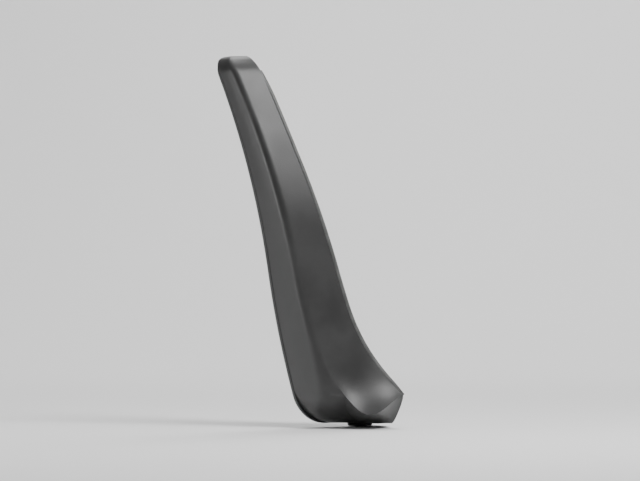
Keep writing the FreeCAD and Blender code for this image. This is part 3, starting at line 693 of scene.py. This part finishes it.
def grow(name, mesh, tree, values):  # run a tree on a mesh and keep the result as a plain mesh
    piece = bpy.data.objects.new(name, mesh)
    collection.objects.link(piece)
    change = piece.modifiers.new(tree.name, "NODES")
    change.node_group = tree
    for item in tree.interface.items_tree:
        if item.in_out == "INPUT" and item.name in values:
            change[item.identifier] = values[item.name]
    return applyAll(piece)


def copiesTree():  # copies of a part, one on each station
    t = Tree("copiesOnStations", {"Part": ("Object", None)})
    part = t.add("ObjectInfo", {"Object": t.given["Part"]}, "Geometry")
    turn = t.add("InputNamedAttribute", {"Name": "turn"}, "Attribute", data_type="QUATERNION")
    return t.finish(t.add("InstanceOnPoints", {"Points": t.given["Geometry"], "Instance": part,
                                               "Rotation": turn}))


def threadTree():  # a screw thread: a pointed ridge wound round the core
    t = Tree("woundThread", {"Core": ("Float", 0.0019), "Height": ("Float", 0.0005),
                             "Length": ("Float", 0.008), "Turns": ("Float", 5.0),
                             "End": ("Float", 0.0019)})
    spiral = t.add("CurveSpiral", {"Resolution": 32, "Rotations": t.given["Turns"],
                                   "Start Radius": t.given["Core"], "End Radius": t.given["End"],
                                   "Height": t.given["Length"]})
    ridge = t.add("CurvePrimitiveCircle", {"Resolution": 4, "Radius": t.given["Height"]}, "Curve")
    return t.finish(t.add("CurveToMesh", {"Curve": spiral, "Profile Curve": ridge, "Fill Caps": True}))


def lipTree():  # a rounded strip that follows a line of points
    t = Tree("lipAlongEdge", {"Width": ("Float", 0.004), "Depth": ("Float", 0.003),
                              "Round": ("Float", 0.001), "Across": ("Vector", (1.0, 0.0, 0.0))})
    line = t.add("MeshToCurve", {"Mesh": t.given["Geometry"]})
    steady = t.add("SetCurveNormal", {"Curve": line, "Normal": t.given["Across"]}, mode="FREE")
    outline = t.add("CurvePrimitiveQuadrilateral",
                    {"Width": t.given["Width"], "Height": t.given["Depth"]}, "Curve")
    soft = t.add("FilletCurve", {"Curve": outline, "Radius": t.given["Round"], "Count": 5}, mode="POLY")
    return t.finish(t.add("CurveToMesh", {"Curve": steady, "Profile Curve": soft, "Fill Caps": True}))


def platesTree():  # flat outlines drawn out into plates
    t = Tree("platesFromOutlines", {"Thickness": ("Float", 0.0018)})
    drawn = t.add("ExtrudeMesh", {"Mesh": t.given["Geometry"], "Offset": (0.0, 0.0, 1.0),
                                  "Offset Scale": t.given["Thickness"], "Individual": False}, "Mesh")
    under = t.add("FlipFaces", {"Mesh": t.given["Geometry"]})
    both = t.tree.nodes.new("GeometryNodeJoinGeometry")
    t.tree.links.new(drawn, both.inputs[0])
    t.tree.links.new(under, both.inputs[0])
    return t.finish(t.add("MergeByDistance", {"Geometry": both.outputs[0], "Distance": 0.00001}))


copies, woundThread, lipAlongEdge, plates = copiesTree(), threadTree(), lipTree(), platesTree()


def atStations(name, part, stations, material):  # a part copied to its stations, as one plain mesh
    points = bpy.data.meshes.new(name)
    points.from_pydata([station["spot"] * mm for station in stations], [], [])
    turns = points.attributes.new("turn", "QUATERNION", "POINT")
    for place, station in zip(turns.data, stations):
        place.value = standing(station).to_quaternion()
    return grow(name, points, copies, {"Part": part, "Material": material})


ribs = {"thick": 1.8, "inset": 5, "heights": (112, 50, -50)}


def ribOutline(z):  # from the band's inside to short of the sloping face's edge
    s = sectionAt(z)
    inset = ribs["inset"]
    slope = (s["edgeX"] - s["ridge"]) / (s["edgeY"] - outboardY(z) - g["bandCrown"])
    size = g["ridgeSize"]
    start, half = s["start"] + 0.3 * g["wall"], 0.5 * g["wall"]
    return [(start, s["face"] + half), (s["ridge"] - size, s["face"] + half),
            (s["ridge"] + 0.3 * size - half, s["face"] + size),
            (s["edgeX"] - half - inset * slope, s["edgeY"] - inset), (start, s["edgeY"] - inset)]


def makeRibs():
    spots, faces = [], []
    for z in ribs["heights"]:
        outline = ribOutline(z)
        faces.append([len(spots) + k for k in range(len(outline))])
        spots += [(x * mm, y * mm, (z - ribs["thick"] / 2) * mm) for x, y in outline]
    mesh = bpy.data.meshes.new("ribs")
    mesh.from_pydata(spots, [], faces)
    return grow("ribs", mesh, plates, {"Thickness": ribs["thick"] * mm, "Material": mouldedBlack})


raised, holes = makeBosses()
guard = joined("mouldedGuard", [fairing])
guard = boolean(guard, makeWall(), "UNION")
guard = boolean(guard, makeFlange(), "UNION")
guard = boolean(guard, makeRibs(), "UNION")
guard = boolean(guard, raised, "UNION")
guard = boolean(guard, holes, "DIFFERENCE")
dress(guard, mouldedBlack)
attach(guard, "guard")
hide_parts("splash_guard")
print("moulding joined:", len(guard.data.vertices), "points")

# Give a piece its finish and its body, and hide the plain solids that it stands for.
def settle(piece, material, body, nodes, angle=32):
    dress(piece, material, angle)
    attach(piece, body)
    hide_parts(*nodes)
    return piece


# Edge seal: a soft lip along the fairing's rear edge, from the crest's shoulder to the scoop's tip.
seal = {"proud": 0.6, "depth": 3, "overlap": 3.15, "round": 1.3, "top": 143, "bottom": -88, "steps": 150,
        "fadeTop": 22, "fadeBottom": 10, "sink": 2.6}


def makeSeal():
    spots = []
    for i in range(seal["steps"] + 1):
        z = seal["top"] + (seal["bottom"] - seal["top"]) * i / seal["steps"]
        s = sectionAt(z)
        near = clamp((seal["top"] - z) / seal["fadeTop"])
        near *= clamp((z - seal["bottom"]) / seal["fadeBottom"])
        fade = 1 - math.sin(near * math.pi / 2)
        middle = -seal["overlap"] / 2 - seal["sink"] * fade
        lean = (s["edgeX"] - s["ridge"]) / (s["edgeY"] - outboardY(z) - g["bandCrown"])
        half = seal["depth"] / 2
        spots.append(((s["edgeX"] + middle + lean * half) * mm, (s["edgeY"] + half) * mm, z * mm))
    mesh = bpy.data.meshes.new("edgeSeal")
    mesh.from_pydata(spots, [(i, i + 1) for i in range(seal["steps"])], [])
    values = {"Width": (seal["overlap"] + 2 * seal["proud"]) * mm, "Depth": seal["depth"] * mm,
              "Round": seal["round"] * mm, "Material": sealRubber}
    return grow("edgeSeal", mesh, lipAlongEdge, values)


settle(makeSeal(), sealRubber, "guard", ["edge_seal"], 60)
print("edge seal made")


foam = {
    "thick": 4, "width": 14, "soft": 0.7, "ribGap": 0.45,
    "upper": {"top": 78, "bottom": 16}, "lower": {"top": -15, "bottom": -46, "inboard": 14.5},
}
ribEnd = sectionAt(ribs["heights"][1])["edgeY"] - ribs["inset"]
foam["upper"]["inboard"] = ribEnd + foam["ribGap"] + foam["width"]  # just clear of the middle rib


def makeFoam(name, place):  # a strip with slightly uneven cut sides
    rows, across = 60, 10
    near, far = [], []
    for i in range(rows + 1):
        z = place["bottom"] + (place["top"] - place["bottom"]) * i / rows
        x = seatX(z) - g["seatProud"]
        line = []
        for k in range(across + 1):
            wave = 0.12 * math.sin(z * 0.9 + k) + 0.08 * math.sin(z * 2.3 + 1.7 * k)
            y = place["inboard"] - foam["width"] * (1 - k / across)
            line.append((y, wave))
        near.append([(x, y, z) for y, wave in line])
        far.append([(x + foam["thick"] - 0.15 + wave * 0.7, y, z) for y, wave in line])
    return soften(solidFromGrid(name, near, far), foam["soft"])


for level in ("upper", "lower"):
    strip = makeFoam("foamStrip" + level.title(), foam[level])
    settle(strip, foamFinish, "guard", ["foam_strip_" + level])
print("foam strips made")

# Screws, washers and sleeves, each made once about its own axis and copied to the screw stations.
screw = {
    "sleeveBore": 2.7, "sleeveRadius": 4.3, "washerBore": 2.8, "washerRadius": 8, "washerThick": 1.2,
    "collarRadius": 5.6, "collarThick": 1, "headAcross": 8, "headHeight": 3.4, "recessWide": 1.3,
    "recessLong": 5, "recessDeep": 1.8, "core": 1.9, "thread": 2.4, "threadLength": 8, "turns": 5.5,
    "pointLength": 3, "pointRadius": 0.6,
}


def makeSleeve():
    inner, outer, soft = screw["sleeveBore"], screw["sleeveRadius"], 0.25
    d = clampDepth
    return turned("sleeve", [
        (inner + soft, -d), (outer - soft, -d), (outer, -d + soft), (outer, -soft), (outer - soft, 0),
        (inner + soft, 0), (inner, -soft), (inner, -d + soft)], None, 64)


def makeWasher():
    inner, outer, soft = screw["washerBore"], screw["washerRadius"], 0.3
    low, high = -clampDepth - screw["washerThick"], -clampDepth
    return turned("washer", [
        (inner, low + 0.1), (inner + 0.1, low), (outer - soft, low),
        (outer - soft * 0.3, low + soft * 0.3), (outer, low + soft), (outer, high - 0.1),
        (outer - 0.1, high), (inner + 0.1, high), (inner, high - 0.1)], None, 72)


def crossLoop(wide, thin):  # outline of a cross recess, from half its length and half its arm's width
    loop = []
    for k in range(4):
        turn = Matrix.Rotation(math.pi / 2 * k, 2)
        loop += [tuple(turn @ Vector(p)) for p in ((wide, -thin), (wide, thin), (thin, thin))]
    return loop


def makeScrew():
    seat = -clampDepth - screw["washerThick"]
    collar = seat - screw["collarThick"]
    top = collar - screw["headHeight"]
    r, core = screw["collarRadius"], screw["core"]
    end = screw["threadLength"] + screw["pointLength"]
    shank = turned("shank", [
        (0, collar - 0.05), (r - 0.5, collar), (r - 0.12, collar + 0.15), (r, collar + 0.4),
        (r, seat - 0.15), (r - 0.15, seat), (core, seat), (core, screw["threadLength"]),
        (core * 0.75, end - 1.6),
        (screw["pointRadius"], end - 0.3), (screw["pointRadius"] * 0.4, end), (0, end)], None, 48)
    corner = screw["headAcross"] / math.sqrt(3)
    hexagon = roundedLoop([(corner * math.cos(math.pi / 3 * k), corner * math.sin(math.pi / 3 * k), 0.4)
                           for k in range(6)], 4)
    head = plateFromLoop("head", hexagon, top, collar + 0.2, 0.35)
    cross = crossLoop(screw["recessLong"] / 2, screw["recessWide"] / 2)
    recess = plateFromLoop("recess", cross, top - 1, top + screw["recessDeep"], 0)
    head = boolean(head, recess, "DIFFERENCE")
    body = boolean(shank, head, "UNION")
    ridge = screw["thread"] - core
    thread = grow("thread", bpy.data.meshes.new("thread"), woundThread, {
        "Core": core * mm, "End": core * mm, "Height": ridge * mm, "Turns": screw["turns"],
        "Length": (screw["threadLength"] - 0.5) * mm, "Material": blackZinc})
    thread.data.transform(Matrix.Translation((0, 0, 0.6 * mm)))
    return boolean(body, thread, "UNION")


def spread(name, make, material, stations, nodes, body="guard", angle=32):
    part = make()
    piece = atStations(name, part, stations, material)
    bpy.data.objects.remove(part)
    return settle(piece, material, body, nodes, angle)


places = list(screws)
spots = [screws[place] for place in places]
spread("sleeves", makeSleeve, brightZinc, spots, ["sleeve_" + place for place in places])
spread("washers", makeWasher, blackZinc, spots, ["washer_" + place for place in places])
spread("washerHeadScrews", makeScrew, blackZinc, spots,
       ["screw_" + place for place in places])
print("screws, washers and sleeves made")

# Push rivets: split bodies on the guard and the pins that slide in them.
rivet = {
    "headRadius": 9, "headThick": 1.8, "recessRadius": 5, "recessDeep": 1.2, "neck": 3.9, "shank": 3.7,
    "reach": 9, "tipRadius": 3, "tipLength": 2, "slot": 1, "slotLength": 6, "bore": 2,
    "pinGap": 0.05, "pinHeadRadius": 4.2, "pinHeadThick": 1.6, "pinTipLength": 1.5, "pinTipRadius": 1.2,
    "notchWide": 2.4, "notchDeep": 0.8, "crossLong": 1.9, "crossWide": 0.45, "crossDeep": 0.7,
}


def makeRivetBody():
    v = rivet
    low = -gripDepth - v["headThick"]
    recess = low + v["recessDeep"]
    end = v["reach"] + v["tipLength"]
    head, r = v["headRadius"], v["recessRadius"]
    body = turned("rivetBody", [
        (v["bore"], recess), (r - 0.3, recess), (r, recess - 0.3), (r, low + 0.25), (r + 0.25, low),
        (0.86 * head, low), (0.93 * head, low + 0.2), (0.98 * head, low + 0.9), (head, -gripDepth - 0.3),
        (head - 0.2, -gripDepth), (v["neck"], -gripDepth), (v["neck"], -0.2), (v["shank"], 0),
        (v["shank"], v["reach"]), (v["tipRadius"] + 0.35, end - 0.9), (v["tipRadius"], end),
        (v["bore"], end)], None, 64)
    half = v["slot"] / 2
    for wide, deep in ((half, 2 * v["shank"]), (2 * v["shank"], half)):
        loop = [(-wide, -deep), (wide, -deep), (wide, deep), (-wide, deep)]
        slot = plateFromLoop("slot", loop, end - v["slotLength"], end + 1, 0)
        body = boolean(body, slot, "DIFFERENCE")
    for side in (-1, 1):  # notches to lever the head up by
        loop = [(side * (r - 1), -v["notchWide"] / 2), (side * (r + 2), -v["notchWide"] / 2),
                (side * (r + 2), v["notchWide"] / 2), (side * (r - 1), v["notchWide"] / 2)]
        notch = plateFromLoop("notch", loop[::side], low - 1, low + v["notchDeep"], 0)
        body = boolean(body, notch, "DIFFERENCE")
    return body


def makeRivetPin():
    v = rivet
    recess = -gripDepth - v["headThick"] + v["recessDeep"] - v["pinGap"]
    shank = v["bore"] - v["pinGap"]
    end = v["reach"] + v["tipLength"]
    top, r = recess - v["pinHeadThick"], v["pinHeadRadius"]
    pin = turned("rivetPin", [
        (0, top), (0.6 * r, top + 0.02), (0.82 * r, top + 0.12), (0.94 * r, top + 0.4), (r, top + 0.8),
        (r, recess - 0.15), (r - 0.15, recess), (shank, recess), (shank, end - v["pinTipLength"] - 0.3),
        (shank - 0.1, end - v["pinTipLength"]), (v["pinTipRadius"], end - 0.15),
        (v["pinTipRadius"] - 0.2, end), (0, end)], None, 56)
    cross = crossLoop(v["crossLong"], v["crossWide"])
    return boolean(pin, plateFromLoop("recess", cross, top - 1, top + v["crossDeep"], 0), "DIFFERENCE")


spread("rivetBodies", makeRivetBody, nylon, list(rivets.values()),
       ["rivet_body_" + name for name in rivets])
for name, station in rivets.items():
    spread("rivetPin" + name.title(), makeRivetPin, nylon, [station],
           ["rivet_pin_" + name], "pin_" + name)
print("push rivets made")

# Spring nut: a folded sheet clip over the bottom flange, with an extruded and threaded collar.
springNut = {"width": 12, "leaf": 10.5, "sheet": 0.8, "bend": 1.2, "leadIn": 1.6, "flare": 0.15,
             "collar": 3.4, "collarHeight": 2.4, "thread": 2, "pitch": 0.7}


def makeSpringNut():
    v = springNut
    edge = wallShape["flangeInboard"]
    top, bottom = plateTop + v["sheet"] / 2, -g["heelDepth"] - v["sheet"] / 2
    gap = (top - bottom) / 2
    tip, start = edge - v["leaf"], edge - v["bend"]
    line = [(tip, top + v["flare"]), (tip + v["leadIn"], top), (start, top)]
    for k in range(9):
        angle = math.pi * k / 8
        line.append((start + (v["bend"] + v["sheet"] / 2) * math.sin(angle),
                     (top + bottom) / 2 + gap * math.cos(angle)))
    line += [(start, bottom), (tip + v["leadIn"], bottom), (tip, bottom - v["flare"])]
    grid = [[(fixings["nutBack"] + v["width"] * (k / 8 - 0.5), y, z) for k in range(9)] for y, z in line]
    sheet = gridMesh("springNut", grid)
    solid = sheet.modifiers.new("thickness", "SOLIDIFY")
    solid.thickness = v["sheet"] * mm
    solid.offset = 0
    applyAll(sheet)
    spot = {"spot": Vector((fixings["nutBack"], nutInboard, 0)), "tilt": math.pi / 2}
    top = plateTop + v["sheet"]
    high = top + v["collarHeight"]
    r = v["collar"]
    collar = turned("collar", [
        (0, plateTop + 0.1), (r + 0.5, top - 0.1), (r + 0.1, top + 0.4), (r, top + 0.7),
        (r, high - 0.3), (r - 0.3, high), (0, high)], spot, 48)
    sheet = boolean(sheet, collar, "UNION")
    threads, z = [(0, plateTop - 1), (v["thread"], plateTop - 1)], plateTop + 0.2
    while z < high - 0.5:  # the thread's grooves
        threads += [(v["thread"], z), (v["thread"] + 0.25, z + 0.25), (v["thread"], z + 0.5)]
        z += v["pitch"]
    threads += [(v["thread"], high + 1), (0, high + 1)]
    sheet = boolean(sheet, turned("tapped", threads, spot, 40), "DIFFERENCE")
    r, low, high = fixings["nutWayIn"], -g["heelDepth"] - 3, -g["heelDepth"] + 1
    way = turned("wayIn", [(0, low), (r, low), (r, high), (0, high)], spot, 48)
    return boolean(sheet, way, "DIFFERENCE")


settle(makeSpringNut(), springSteel, "guard", ["spring_nut_sill"])
print("spring nut made")


# Floor, lights and camera.
studio = {
    "floorColour": (0.84, 0.84, 0.84), "floorGap": 0.0029,
    "skyColour": (1.0, 1.0, 1.0), "skyStrength": 0.34,
    "horizonStrength": 0.05,
    "floorAhead": 4.0, "floorBehind": 1.2, "floorCurve": 1.2, "floorHalfWidth": 5, "backdropHeight": 4.0,
    "cameraSpot": (1.7586, -1.3125, -0.0104), "cameraAim": (0.016, 0.0, 0.0215), "lens": 172.0,
}


def makeFloor():  # a pale floor that curves up into a backdrop
    base = -g["heelDepth"] * mm - studio["floorGap"]
    behind, curve, wide = studio["floorBehind"], studio["floorCurve"], studio["floorHalfWidth"]
    profile = [(studio["floorAhead"], base), (-behind, base)]
    for k in range(1, 13):
        angle = math.pi / 2 * k / 12
        profile.append((-behind - curve * math.sin(angle), base + curve * (1 - math.cos(angle))))
    profile.append((-behind - curve, base + studio["backdropHeight"]))
    work = bmesh.new()
    turn = Matrix.Rotation(math.atan2(studio["cameraSpot"][1], studio["cameraSpot"][0]), 4, "Z")
    made = [[work.verts.new(turn @ Vector((along, side, height))) for side in (-wide, wide)]
            for along, height in profile]
    for a, b in zip(made, made[1:]):
        work.faces.new((a[0], a[1], b[1], b[0]))
    bmesh.ops.recalc_face_normals(work, faces=work.faces)
    mesh = bpy.data.meshes.new("floor")
    work.to_mesh(mesh)
    work.free()
    floor = bpy.data.objects.new("floor", mesh)
    collection.objects.link(floor)
    for polygon in mesh.polygons:
        polygon.use_smooth = True
    f = Finish("paleFloor")
    f.shader.inputs["Base Color"].default_value = (*studio["floorColour"], 1)
    f.shader.inputs["Roughness"].default_value = 0.9
    mesh.materials.append(f.material)
    return floor


lights = {
    "above": {"spot": (0.75, 0.05, 0.95), "aim": (0.0, 0, 0.10), "size": 0.5, "power": 12},
    "near": {"spot": (0.42, 0.06, 0.36), "aim": (0.0, -0.01, 0.07), "size": 0.2, "power": 0.9},
    "fill": {"spot": (1.25, -0.95, 1.3), "aim": (0.0, 0.0, 0.1), "size": 0.5, "power": 1.6},
    "side": {"spot": (-0.30, -0.62, 0.03), "aim": (0.0, -0.03, -0.02), "size": 0.20, "power": 1.1},
    "backdrop": {"spot": (-1.3, 1.6, 2.2), "aim": (-2.0, 1.2, 0.2), "size": 1.6, "power": 66},
    "ground": {"spot": (-0.4, 0.2, 2.4), "aim": (-0.3, 0.2, -0.1), "size": 1.4, "power": 8},
}


def addLight(name, lamp):
    data = bpy.data.lights.new(name, "AREA")
    data.shape = "RECTANGLE"
    data.size = data.size_y = lamp["size"]
    data.energy = lamp["power"]
    light = bpy.data.objects.new(name, data)
    collection.objects.link(light)
    light.location = lamp["spot"]
    along = Vector(lamp["aim"]) - Vector(lamp["spot"])
    light.rotation_euler = along.to_track_quat("-Z", "Y").to_euler()


makeFloor()
for name, lamp in lights.items():
    addLight(name, lamp)


def makeSky():  # brighter overhead than at the horizon
    world = bpy.context.scene.world or bpy.data.worlds.new("studio")
    bpy.context.scene.world = world
    world.use_nodes = True
    nodes, links = world.node_tree.nodes, world.node_tree.links
    place = nodes.new("ShaderNodeTexCoord")
    parts = nodes.new("ShaderNodeSeparateXYZ")
    links.new(place.outputs["Generated"], parts.inputs[0])
    rise = nodes.new("ShaderNodeMapRange")
    rise.interpolation_type = "SMOOTHSTEP"
    for socket, value in (("From Min", -0.1), ("From Max", 0.85), ("To Min", studio["horizonStrength"]),
                          ("To Max", studio["skyStrength"])):
        rise.inputs[socket].default_value = value
    links.new(parts.outputs["Z"], rise.inputs["Value"])
    links.new(rise.outputs["Result"], nodes["Background"].inputs["Strength"])
    nodes["Background"].inputs["Color"].default_value = (*studio["skyColour"], 1)


makeSky()

cameraData = bpy.data.cameras.new("camera")
cameraData.lens = studio["lens"]
cameraData.sensor_width = 36
cameraData.clip_start = 0.05
camera = bpy.data.objects.new("camera", cameraData)
collection.objects.link(camera)
camera.location = studio["cameraSpot"]
aim = Vector(studio["cameraAim"]) - camera.location
camera.rotation_euler = aim.to_track_quat("-Z", "Y").to_euler()
bpy.context.scene.camera = camera
print("floor, lights and camera set")
